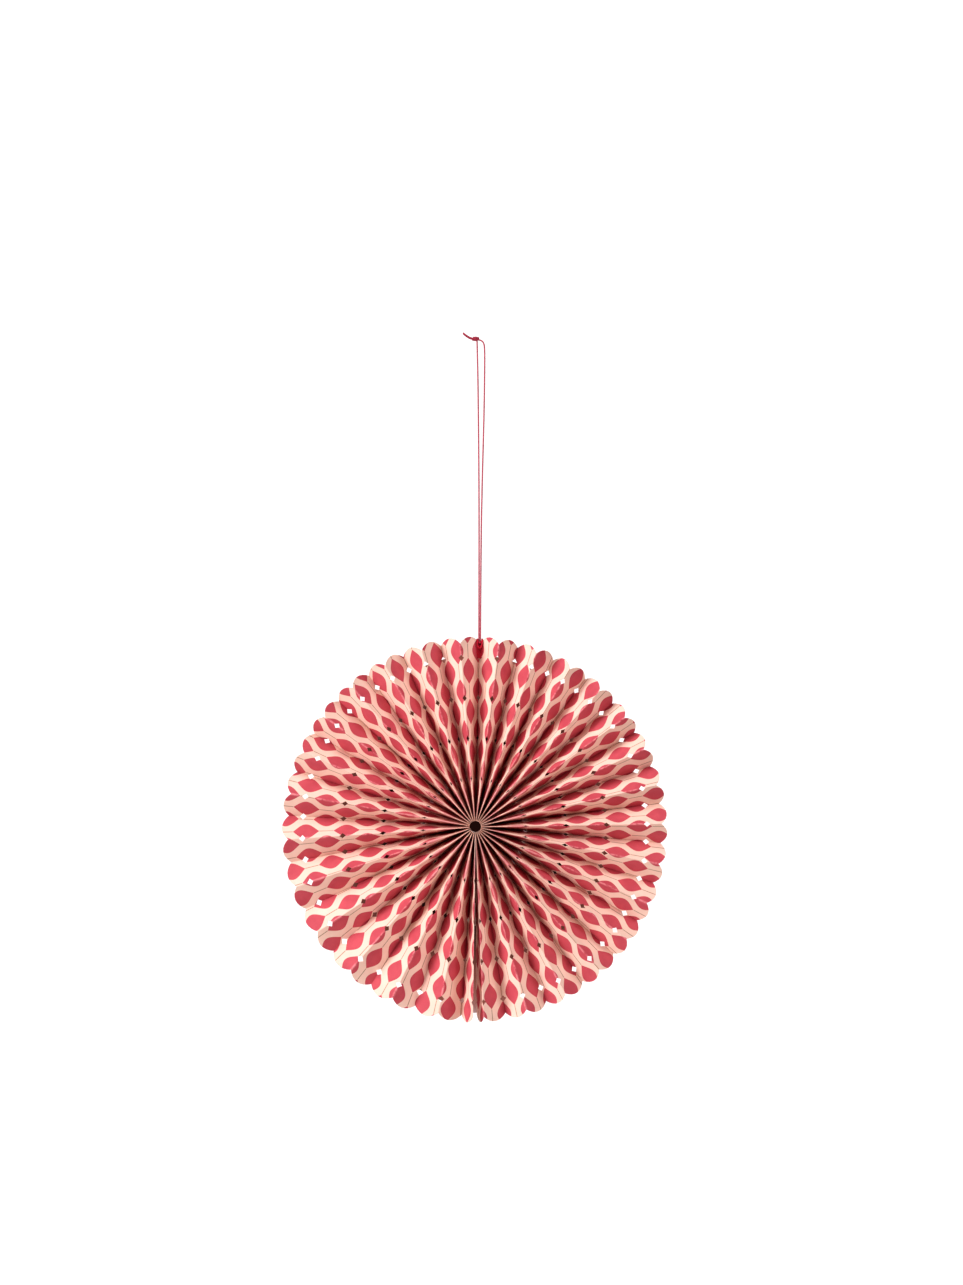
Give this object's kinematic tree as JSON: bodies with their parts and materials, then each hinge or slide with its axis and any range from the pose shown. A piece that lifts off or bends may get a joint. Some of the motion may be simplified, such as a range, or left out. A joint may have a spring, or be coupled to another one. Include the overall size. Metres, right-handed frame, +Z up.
{
  "type": "pleated paper rosette",
  "caption": "Round pleated paper rosette with a scalloped rim and rows of diamond holes, hung on a looped cord; it turns on the cord and folds up like a fan.",
  "frame": {"origin": "the top of the hanging loop, under the knot, where a hook carries it", "axes": "+Z up along the cord, the rosette's front faces -Y, +X to the right as seen from the front"},
  "size_m": [0.2006, 0.0166, 0.3567],
  "materials": {
    "printed_paper": "matt uncoated paper, coral with cream wavy bands and thin brown hairlines on the front and back",
    "cord": "thin twisted red cotton cord",
    "thread": "plain binding thread",
    "tab_paper": "matt adhesive paper"
  },
  "bodies": {
    "hanging_cord": {"hanging_cord": "cord"},
    "valley_fold_01": {"valley_fold_01": "printed_paper"},
    "ridge_fold_01": {"ridge_fold_01": "printed_paper"},
    "valley_fold_02": {"valley_fold_02": "printed_paper"},
    "ridge_fold_02": {"ridge_fold_02": "printed_paper"},
    "valley_fold_03": {"valley_fold_03": "printed_paper"},
    "ridge_fold_03": {"ridge_fold_03": "printed_paper"},
    "valley_fold_04": {"valley_fold_04": "printed_paper"},
    "ridge_fold_04": {"ridge_fold_04": "printed_paper"},
    "valley_fold_05": {"valley_fold_05": "printed_paper"},
    "ridge_fold_05": {"ridge_fold_05": "printed_paper"},
    "valley_fold_06": {"valley_fold_06": "printed_paper"},
    "ridge_fold_06": {"ridge_fold_06": "printed_paper"},
    "valley_fold_07": {"valley_fold_07": "printed_paper"},
    "ridge_fold_07": {"ridge_fold_07": "printed_paper"},
    "valley_fold_08": {"valley_fold_08": "printed_paper"},
    "ridge_fold_08": {"ridge_fold_08": "printed_paper"},
    "valley_fold_09": {"valley_fold_09": "printed_paper"},
    "ridge_fold_09": {"ridge_fold_09": "printed_paper"},
    "valley_fold_10": {"valley_fold_10": "printed_paper"},
    "ridge_fold_10": {"ridge_fold_10": "printed_paper"},
    "valley_fold_11": {"valley_fold_11": "printed_paper"},
    "ridge_fold_11": {"ridge_fold_11": "printed_paper"},
    "valley_fold_12": {"valley_fold_12": "printed_paper"},
    "ridge_fold_12": {"ridge_fold_12": "printed_paper"},
    "valley_fold_13": {"valley_fold_13": "printed_paper"},
    "ridge_fold_13": {"ridge_fold_13": "printed_paper"},
    "valley_fold_14": {"valley_fold_14": "printed_paper", "cord_hitch": "cord", "hub_thread": "thread"},
    "ridge_fold_14": {"ridge_fold_14": "printed_paper"},
    "valley_fold_15": {"valley_fold_15": "printed_paper"},
    "ridge_fold_15": {"ridge_fold_15": "printed_paper"},
    "valley_fold_16": {"valley_fold_16": "printed_paper"},
    "ridge_fold_16": {"ridge_fold_16": "printed_paper"},
    "valley_fold_17": {"valley_fold_17": "printed_paper"},
    "ridge_fold_17": {"ridge_fold_17": "printed_paper"},
    "valley_fold_18": {"valley_fold_18": "printed_paper"},
    "ridge_fold_18": {"ridge_fold_18": "printed_paper"},
    "valley_fold_19": {"valley_fold_19": "printed_paper"},
    "ridge_fold_19": {"ridge_fold_19": "printed_paper"},
    "valley_fold_20": {"valley_fold_20": "printed_paper"},
    "ridge_fold_20": {"ridge_fold_20": "printed_paper"},
    "valley_fold_21": {"valley_fold_21": "printed_paper"},
    "ridge_fold_21": {"ridge_fold_21": "printed_paper"},
    "valley_fold_22": {"valley_fold_22": "printed_paper"},
    "ridge_fold_22": {"ridge_fold_22": "printed_paper"},
    "valley_fold_23": {"valley_fold_23": "printed_paper"},
    "ridge_fold_23": {"ridge_fold_23": "printed_paper"},
    "valley_fold_24": {"valley_fold_24": "printed_paper"},
    "ridge_fold_24": {"ridge_fold_24": "printed_paper"},
    "valley_fold_25": {"valley_fold_25": "printed_paper"},
    "ridge_fold_25": {"ridge_fold_25": "printed_paper"},
    "valley_fold_26": {"valley_fold_26": "printed_paper"},
    "ridge_fold_26": {"ridge_fold_26": "printed_paper"},
    "valley_fold_27": {"valley_fold_27": "printed_paper"},
    "ridge_fold_27": {"ridge_fold_27": "printed_paper"},
    "valley_fold_28": {"valley_fold_28": "printed_paper"},
    "ridge_fold_28": {"ridge_fold_28": "printed_paper", "closure_tab": "tab_paper"}
  },
  "joints": [
    {"name": "turn_on_cord", "type": "hinge", "parent": "hanging_cord", "child": "valley_fold_14", "pos_m": [0, 0, -0.154], "axis": [0, 0, 1], "range_deg": [-180, 180], "stiffness_Nm_per_rad": 0.000002, "deforming": ["hanging_cord", "cord_hitch"]},
    {"name": "left_fan_fold", "type": "hinge", "parent": "valley_fold_14", "child": "ridge_fold_13", "pos_m": [-0.00269, 0, -0.24845], "axis": [0.3695, 0.9292, 0.0106], "range_deg": [0, 6.54], "deforming": ["ridge_fold_13", "valley_fold_14", "hub_thread"]},
    {"name": "left_leaf_26_fold", "type": "hinge", "parent": "ridge_fold_13", "child": "valley_fold_13", "pos_m": [-0.00301, 0, -0.24848], "axis": [-0.3682, 0.9284, -0.0501], "range_deg": [0, 6.57], "deforming": ["valley_fold_13"]},
    {"name": "left_leaf_25_fold", "type": "hinge", "parent": "valley_fold_13", "child": "ridge_fold_12", "pos_m": [-0.00333, 0, -0.24854], "axis": [0.362, 0.9279, 0.0893], "range_deg": [0, 6.59], "deforming": ["ridge_fold_12"]},
    {"name": "left_leaf_24_fold", "type": "hinge", "parent": "ridge_fold_12", "child": "valley_fold_12", "pos_m": [-0.00364, 0, -0.24863], "axis": [-0.3511, 0.9276, -0.1276], "range_deg": [0, 6.59], "deforming": ["valley_fold_12"]},
    {"name": "left_leaf_23_fold", "type": "hinge", "parent": "valley_fold_12", "child": "ridge_fold_11", "pos_m": [-0.00394, 0, -0.24876], "axis": [0.3362, 0.9273, 0.1646], "range_deg": [0, 6.59], "deforming": ["ridge_fold_11"]},
    {"name": "left_leaf_22_fold", "type": "hinge", "parent": "ridge_fold_11", "child": "valley_fold_11", "pos_m": [-0.00423, 0, -0.24892], "axis": [-0.3176, 0.9269, -0.2], "range_deg": [0, 6.6], "deforming": ["valley_fold_11"]},
    {"name": "left_leaf_21_fold", "type": "hinge", "parent": "valley_fold_11", "child": "ridge_fold_10", "pos_m": [-0.00449, 0, -0.24911], "axis": [0.2961, 0.9261, 0.234], "range_deg": [0, 6.63], "deforming": ["ridge_fold_10"]},
    {"name": "left_leaf_20_fold", "type": "hinge", "parent": "ridge_fold_10", "child": "valley_fold_10", "pos_m": [-0.00474, 0, -0.24932], "axis": [-0.2717, 0.9247, -0.2666], "range_deg": [0, 6.67], "deforming": ["valley_fold_10"]},
    {"name": "left_leaf_19_fold", "type": "hinge", "parent": "valley_fold_10", "child": "ridge_fold_09", "pos_m": [-0.00496, 0, -0.24957], "axis": [0.2446, 0.9226, 0.2983], "range_deg": [0, 6.75], "deforming": ["ridge_fold_09"]},
    {"name": "left_leaf_18_fold", "type": "hinge", "parent": "ridge_fold_09", "child": "valley_fold_09", "pos_m": [-0.00516, 0, -0.24984], "axis": [-0.2146, 0.9195, -0.3292], "range_deg": [0, 6.87], "deforming": ["valley_fold_09"]},
    {"name": "left_leaf_17_fold", "type": "hinge", "parent": "valley_fold_09", "child": "ridge_fold_08", "pos_m": [-0.00533, 0, -0.25013], "axis": [0.1811, 0.9155, 0.3593], "range_deg": [0, 7.02], "deforming": ["ridge_fold_08"]},
    {"name": "left_leaf_16_fold", "type": "hinge", "parent": "ridge_fold_08", "child": "valley_fold_08", "pos_m": [-0.00546, 0, -0.25045], "axis": [-0.1433, 0.9103, -0.3883], "range_deg": [0, 7.22], "deforming": ["valley_fold_08"]},
    {"name": "left_leaf_15_fold", "type": "hinge", "parent": "valley_fold_08", "child": "ridge_fold_07", "pos_m": [-0.00557, 0, -0.25079], "axis": [0.1006, 0.9041, 0.4154], "range_deg": [0, 7.45], "deforming": ["ridge_fold_07"]},
    {"name": "left_leaf_14_fold", "type": "hinge", "parent": "ridge_fold_07", "child": "valley_fold_07", "pos_m": [-0.00563, 0, -0.25114], "axis": [-0.0524, 0.8969, -0.4392], "range_deg": [0, 7.7], "deforming": ["valley_fold_07"]},
    {"name": "left_leaf_13_fold", "type": "hinge", "parent": "valley_fold_07", "child": "ridge_fold_06", "pos_m": [-0.00565, 0, -0.25152], "axis": [-0.0015, 0.889, 0.458], "range_deg": [0, 7.97], "deforming": ["ridge_fold_06"]},
    {"name": "left_leaf_12_fold", "type": "hinge", "parent": "ridge_fold_06", "child": "valley_fold_06", "pos_m": [-0.00562, 0, -0.2519], "axis": [0.0607, 0.8807, -0.4697], "range_deg": [0, 8.24], "deforming": ["valley_fold_06"]},
    {"name": "left_leaf_11_fold", "type": "hinge", "parent": "valley_fold_06", "child": "ridge_fold_05", "pos_m": [-0.00555, 0, -0.25228], "axis": [-0.124, 0.8727, 0.4722], "range_deg": [0, 8.49], "deforming": ["ridge_fold_05"]},
    {"name": "left_leaf_10_fold", "type": "hinge", "parent": "ridge_fold_05", "child": "valley_fold_05", "pos_m": [-0.00542, 0, -0.25266], "axis": [0.1893, 0.8656, -0.4635], "range_deg": [0, 8.7], "deforming": ["valley_fold_05"]},
    {"name": "left_leaf_09_fold", "type": "hinge", "parent": "valley_fold_05", "child": "ridge_fold_04", "pos_m": [-0.00524, 0, -0.25302], "axis": [-0.2536, 0.8602, 0.4425], "range_deg": [0, 8.86], "deforming": ["ridge_fold_04"]},
    {"name": "left_leaf_08_fold", "type": "hinge", "parent": "ridge_fold_04", "child": "valley_fold_04", "pos_m": [-0.00502, 0, -0.25336], "axis": [0.3136, 0.8571, -0.4088], "range_deg": [0, 8.94], "deforming": ["valley_fold_04"]},
    {"name": "left_leaf_07_fold", "type": "hinge", "parent": "valley_fold_04", "child": "ridge_fold_03", "pos_m": [-0.00475, 0, -0.25366], "axis": [-0.366, 0.8567, 0.3635], "range_deg": [0, 8.94], "deforming": ["ridge_fold_03"]},
    {"name": "left_leaf_06_fold", "type": "hinge", "parent": "ridge_fold_03", "child": "valley_fold_03", "pos_m": [-0.00444, 0, -0.25393], "axis": [0.4081, 0.859, -0.309], "range_deg": [0, 8.86], "deforming": ["valley_fold_03"]},
    {"name": "left_leaf_05_fold", "type": "hinge", "parent": "valley_fold_03", "child": "ridge_fold_02", "pos_m": [-0.00411, 0, -0.25415], "axis": [-0.4384, 0.8638, 0.2484], "range_deg": [0, 8.71], "deforming": ["ridge_fold_02"]},
    {"name": "left_leaf_04_fold", "type": "hinge", "parent": "ridge_fold_02", "child": "valley_fold_02", "pos_m": [-0.00375, 0, -0.25432], "axis": [0.4566, 0.8702, -0.185], "range_deg": [0, 8.5], "deforming": ["valley_fold_02"]},
    {"name": "left_leaf_03_fold", "type": "hinge", "parent": "valley_fold_02", "child": "ridge_fold_01", "pos_m": [-0.00338, 0, -0.25445], "axis": [-0.4636, 0.8776, 0.1218], "range_deg": [0, 8.25], "deforming": ["ridge_fold_01"]},
    {"name": "left_leaf_02_fold", "type": "hinge", "parent": "ridge_fold_01", "child": "valley_fold_01", "pos_m": [-0.00301, 0, -0.25452], "axis": [0.3902, 0.9196, -0.0459], "range_deg": [0, 7.7], "deforming": ["valley_fold_01"]},
    {"name": "right_fan_fold", "type": "hinge", "parent": "valley_fold_14", "child": "ridge_fold_14", "pos_m": [-0.00237, 0, -0.24846], "axis": [0.3659, -0.9302, -0.0283], "range_deg": [0, 6.49], "deforming": ["ridge_fold_14", "valley_fold_14", "hub_thread"]},
    {"name": "right_leaf_29_fold", "type": "hinge", "parent": "ridge_fold_14", "child": "valley_fold_15", "pos_m": [-0.00205, 0, -0.2485], "axis": [-0.3575, -0.9316, 0.0659], "range_deg": [0, 6.43], "deforming": ["valley_fold_15"]},
    {"name": "right_leaf_30_fold", "type": "hinge", "parent": "valley_fold_15", "child": "ridge_fold_15", "pos_m": [-0.00174, 0, -0.24857], "axis": [0.3449, -0.9331, -0.1015], "range_deg": [0, 6.36], "deforming": ["ridge_fold_15"]},
    {"name": "right_leaf_31_fold", "type": "hinge", "parent": "ridge_fold_15", "child": "valley_fold_16", "pos_m": [-0.00144, 0, -0.24868], "axis": [-0.3287, -0.9347, 0.1348], "range_deg": [0, 6.28], "deforming": ["valley_fold_16"]},
    {"name": "right_leaf_32_fold", "type": "hinge", "parent": "valley_fold_16", "child": "ridge_fold_16", "pos_m": [-0.00116, 0, -0.24881], "axis": [0.3098, -0.9363, -0.1657], "range_deg": [0, 6.2], "deforming": ["ridge_fold_16"]},
    {"name": "right_leaf_33_fold", "type": "hinge", "parent": "ridge_fold_16", "child": "valley_fold_17", "pos_m": [-0.0009, 0, -0.24897], "axis": [-0.2888, -0.9375, 0.1941], "range_deg": [0, 6.13], "deforming": ["valley_fold_17"]},
    {"name": "right_leaf_34_fold", "type": "hinge", "parent": "valley_fold_17", "child": "ridge_fold_17", "pos_m": [-0.00066, 0, -0.24915], "axis": [0.2661, -0.9384, -0.2204], "range_deg": [0, 6.08], "deforming": ["ridge_fold_17"]},
    {"name": "right_leaf_35_fold", "type": "hinge", "parent": "ridge_fold_17", "child": "valley_fold_18", "pos_m": [-0.00043, 0, -0.24935], "axis": [-0.2422, -0.9388, 0.2449], "range_deg": [0, 6.06], "deforming": ["valley_fold_18"]},
    {"name": "right_leaf_36_fold", "type": "hinge", "parent": "valley_fold_18", "child": "ridge_fold_18", "pos_m": [-0.00023, 0, -0.24958], "axis": [0.2171, -0.9386, -0.268], "range_deg": [0, 6.06], "deforming": ["ridge_fold_18"]},
    {"name": "right_leaf_37_fold", "type": "hinge", "parent": "ridge_fold_18", "child": "valley_fold_19", "pos_m": [-0.00005, 0, -0.24983], "axis": [-0.1906, -0.9379, 0.2899], "range_deg": [0, 6.09], "deforming": ["valley_fold_19"]},
    {"name": "right_leaf_38_fold", "type": "hinge", "parent": "valley_fold_19", "child": "ridge_fold_19", "pos_m": [0.0001, 0, -0.25009], "axis": [0.1624, -0.9366, -0.3106], "range_deg": [0, 6.15], "deforming": ["ridge_fold_19"]},
    {"name": "right_leaf_39_fold", "type": "hinge", "parent": "ridge_fold_19", "child": "valley_fold_20", "pos_m": [0.00023, 0, -0.25037], "axis": [-0.1321, -0.9348, 0.3298], "range_deg": [0, 6.23], "deforming": ["valley_fold_20"]},
    {"name": "right_leaf_40_fold", "type": "hinge", "parent": "valley_fold_20", "child": "ridge_fold_20", "pos_m": [0.00033, 0, -0.25066], "axis": [0.0993, -0.9325, -0.3472], "range_deg": [0, 6.32], "deforming": ["ridge_fold_20"]},
    {"name": "right_leaf_41_fold", "type": "hinge", "parent": "ridge_fold_20", "child": "valley_fold_21", "pos_m": [0.0004, 0, -0.25097], "axis": [-0.064, -0.9301, 0.3618], "range_deg": [0, 6.43], "deforming": ["valley_fold_21"]},
    {"name": "right_leaf_42_fold", "type": "hinge", "parent": "valley_fold_21", "child": "ridge_fold_21", "pos_m": [0.00044, 0, -0.25129], "axis": [0.0261, -0.9275, -0.3729], "range_deg": [0, 6.54], "deforming": ["ridge_fold_21"]},
    {"name": "right_leaf_43_fold", "type": "hinge", "parent": "ridge_fold_21", "child": "valley_fold_22", "pos_m": [0.00045, 0, -0.25161], "axis": [0.0139, -0.9251, 0.3796], "range_deg": [0, 6.64], "deforming": ["valley_fold_22"]},
    {"name": "right_leaf_44_fold", "type": "hinge", "parent": "valley_fold_22", "child": "ridge_fold_22", "pos_m": [0.00042, 0, -0.25194], "axis": [-0.0555, -0.9229, -0.381], "range_deg": [0, 6.72], "deforming": ["ridge_fold_22"]},
    {"name": "right_leaf_45_fold", "type": "hinge", "parent": "ridge_fold_22", "child": "valley_fold_23", "pos_m": [0.00035, 0, -0.25227], "axis": [0.0976, -0.9211, 0.3768], "range_deg": [0, 6.78], "deforming": ["valley_fold_23"]},
    {"name": "right_leaf_46_fold", "type": "hinge", "parent": "valley_fold_23", "child": "ridge_fold_23", "pos_m": [0.00025, 0, -0.25258], "axis": [-0.1392, -0.9199, -0.3666], "range_deg": [0, 6.82], "deforming": ["ridge_fold_23"]},
    {"name": "right_leaf_47_fold", "type": "hinge", "parent": "ridge_fold_23", "child": "valley_fold_24", "pos_m": [0.00012, 0, -0.25289], "axis": [0.1794, -0.9191, 0.3508], "range_deg": [0, 6.84], "deforming": ["valley_fold_24"]},
    {"name": "right_leaf_48_fold", "type": "hinge", "parent": "valley_fold_24", "child": "ridge_fold_24", "pos_m": [-0.00005, 0, -0.25318], "axis": [-0.2172, -0.9187, -0.3298], "range_deg": [0, 6.84], "deforming": ["ridge_fold_24"]},
    {"name": "right_leaf_49_fold", "type": "hinge", "parent": "ridge_fold_24", "child": "valley_fold_25", "pos_m": [-0.00025, 0, -0.25345], "axis": [0.2523, -0.9186, 0.3043], "range_deg": [0, 6.83], "deforming": ["valley_fold_25"]},
    {"name": "right_leaf_50_fold", "type": "hinge", "parent": "valley_fold_25", "child": "ridge_fold_25", "pos_m": [-0.00048, 0, -0.25369], "axis": [-0.2843, -0.9184, -0.2752], "range_deg": [0, 6.83], "deforming": ["ridge_fold_25"]},
    {"name": "right_leaf_51_fold", "type": "hinge", "parent": "ridge_fold_25", "child": "valley_fold_26", "pos_m": [-0.00073, 0, -0.25391], "axis": [0.3134, -0.918, 0.2431], "range_deg": [0, 6.83], "deforming": ["valley_fold_26"]},
    {"name": "right_leaf_52_fold", "type": "hinge", "parent": "valley_fold_26", "child": "ridge_fold_26", "pos_m": [-0.00101, 0, -0.2541], "axis": [-0.3397, -0.9171, -0.2085], "range_deg": [0, 6.85], "deforming": ["ridge_fold_26"]},
    {"name": "right_leaf_53_fold", "type": "hinge", "parent": "ridge_fold_26", "child": "valley_fold_27", "pos_m": [-0.0013, 0, -0.25426], "axis": [0.3638, -0.9155, 0.1715], "range_deg": [0, 6.91], "deforming": ["valley_fold_27"]},
    {"name": "right_leaf_54_fold", "type": "hinge", "parent": "valley_fold_27", "child": "ridge_fold_27", "pos_m": [-0.00161, 0, -0.25439], "axis": [-0.3858, -0.9131, -0.1321], "range_deg": [0, 7], "deforming": ["ridge_fold_27"]},
    {"name": "right_leaf_55_fold", "type": "hinge", "parent": "ridge_fold_27", "child": "valley_fold_28", "pos_m": [-0.00194, 0, -0.25448], "axis": [0.4058, -0.9096, 0.0898], "range_deg": [0, 7.13], "deforming": ["valley_fold_28"]},
    {"name": "right_leaf_56_fold", "type": "hinge", "parent": "valley_fold_28", "child": "ridge_fold_28", "pos_m": [-0.00229, 0, -0.25453], "axis": [-0.3344, -0.942, -0.0288], "range_deg": [0, 7.01], "deforming": ["ridge_fold_28", "closure_tab"]}
  ],
  "couplings": [
    {"joint": "left_leaf_26_fold", "follows": "left_fan_fold", "ratio": 1.0047},
    {"joint": "left_leaf_25_fold", "follows": "left_fan_fold", "ratio": 1.0071},
    {"joint": "left_leaf_24_fold", "follows": "left_fan_fold", "ratio": 1.0079},
    {"joint": "left_leaf_23_fold", "follows": "left_fan_fold", "ratio": 1.0083},
    {"joint": "left_leaf_22_fold", "follows": "left_fan_fold", "ratio": 1.0095},
    {"joint": "left_leaf_21_fold", "follows": "left_fan_fold", "ratio": 1.0131},
    {"joint": "left_leaf_20_fold", "follows": "left_fan_fold", "ratio": 1.0203},
    {"joint": "left_leaf_19_fold", "follows": "left_fan_fold", "ratio": 1.0324},
    {"joint": "left_leaf_18_fold", "follows": "left_fan_fold", "ratio": 1.0501},
    {"joint": "left_leaf_17_fold", "follows": "left_fan_fold", "ratio": 1.0739},
    {"joint": "left_leaf_16_fold", "follows": "left_fan_fold", "ratio": 1.1036},
    {"joint": "left_leaf_15_fold", "follows": "left_fan_fold", "ratio": 1.1386},
    {"joint": "left_leaf_14_fold", "follows": "left_fan_fold", "ratio": 1.1775},
    {"joint": "left_leaf_13_fold", "follows": "left_fan_fold", "ratio": 1.2187},
    {"joint": "left_leaf_12_fold", "follows": "left_fan_fold", "ratio": 1.2599},
    {"joint": "left_leaf_11_fold", "follows": "left_fan_fold", "ratio": 1.2982},
    {"joint": "left_leaf_10_fold", "follows": "left_fan_fold", "ratio": 1.3307},
    {"joint": "left_leaf_09_fold", "follows": "left_fan_fold", "ratio": 1.3544},
    {"joint": "left_leaf_08_fold", "follows": "left_fan_fold", "ratio": 1.367},
    {"joint": "left_leaf_07_fold", "follows": "left_fan_fold", "ratio": 1.3671},
    {"joint": "left_leaf_06_fold", "follows": "left_fan_fold", "ratio": 1.3546},
    {"joint": "left_leaf_05_fold", "follows": "left_fan_fold", "ratio": 1.3312},
    {"joint": "left_leaf_04_fold", "follows": "left_fan_fold", "ratio": 1.2993},
    {"joint": "left_leaf_03_fold", "follows": "left_fan_fold", "ratio": 1.262},
    {"joint": "left_leaf_02_fold", "follows": "left_fan_fold", "ratio": 1.177},
    {"joint": "right_leaf_29_fold", "follows": "right_fan_fold", "ratio": 0.99033},
    {"joint": "right_leaf_30_fold", "follows": "right_fan_fold", "ratio": 0.97891},
    {"joint": "right_leaf_31_fold", "follows": "right_fan_fold", "ratio": 0.9667},
    {"joint": "right_leaf_32_fold", "follows": "right_fan_fold", "ratio": 0.95486},
    {"joint": "right_leaf_33_fold", "follows": "right_fan_fold", "ratio": 0.94461},
    {"joint": "right_leaf_34_fold", "follows": "right_fan_fold", "ratio": 0.93706},
    {"joint": "right_leaf_35_fold", "follows": "right_fan_fold", "ratio": 0.93312},
    {"joint": "right_leaf_36_fold", "follows": "right_fan_fold", "ratio": 0.93338},
    {"joint": "right_leaf_37_fold", "follows": "right_fan_fold", "ratio": 0.93802},
    {"joint": "right_leaf_38_fold", "follows": "right_fan_fold", "ratio": 0.94683},
    {"joint": "right_leaf_39_fold", "follows": "right_fan_fold", "ratio": 0.95919},
    {"joint": "right_leaf_40_fold", "follows": "right_fan_fold", "ratio": 0.97416},
    {"joint": "right_leaf_41_fold", "follows": "right_fan_fold", "ratio": 0.99053},
    {"joint": "right_leaf_42_fold", "follows": "right_fan_fold", "ratio": 1.007},
    {"joint": "right_leaf_43_fold", "follows": "right_fan_fold", "ratio": 1.0221},
    {"joint": "right_leaf_44_fold", "follows": "right_fan_fold", "ratio": 1.035},
    {"joint": "right_leaf_45_fold", "follows": "right_fan_fold", "ratio": 1.0446},
    {"joint": "right_leaf_46_fold", "follows": "right_fan_fold", "ratio": 1.0508},
    {"joint": "right_leaf_47_fold", "follows": "right_fan_fold", "ratio": 1.0537},
    {"joint": "right_leaf_48_fold", "follows": "right_fan_fold", "ratio": 1.054},
    {"joint": "right_leaf_49_fold", "follows": "right_fan_fold", "ratio": 1.0528},
    {"joint": "right_leaf_50_fold", "follows": "right_fan_fold", "ratio": 1.0516},
    {"joint": "right_leaf_51_fold", "follows": "right_fan_fold", "ratio": 1.0521},
    {"joint": "right_leaf_52_fold", "follows": "right_fan_fold", "ratio": 1.0557},
    {"joint": "right_leaf_53_fold", "follows": "right_fan_fold", "ratio": 1.0639},
    {"joint": "right_leaf_54_fold", "follows": "right_fan_fold", "ratio": 1.0777},
    {"joint": "right_leaf_55_fold", "follows": "right_fan_fold", "ratio": 1.0976},
    {"joint": "right_leaf_56_fold", "follows": "right_fan_fold", "ratio": 1.0797}
  ]
}
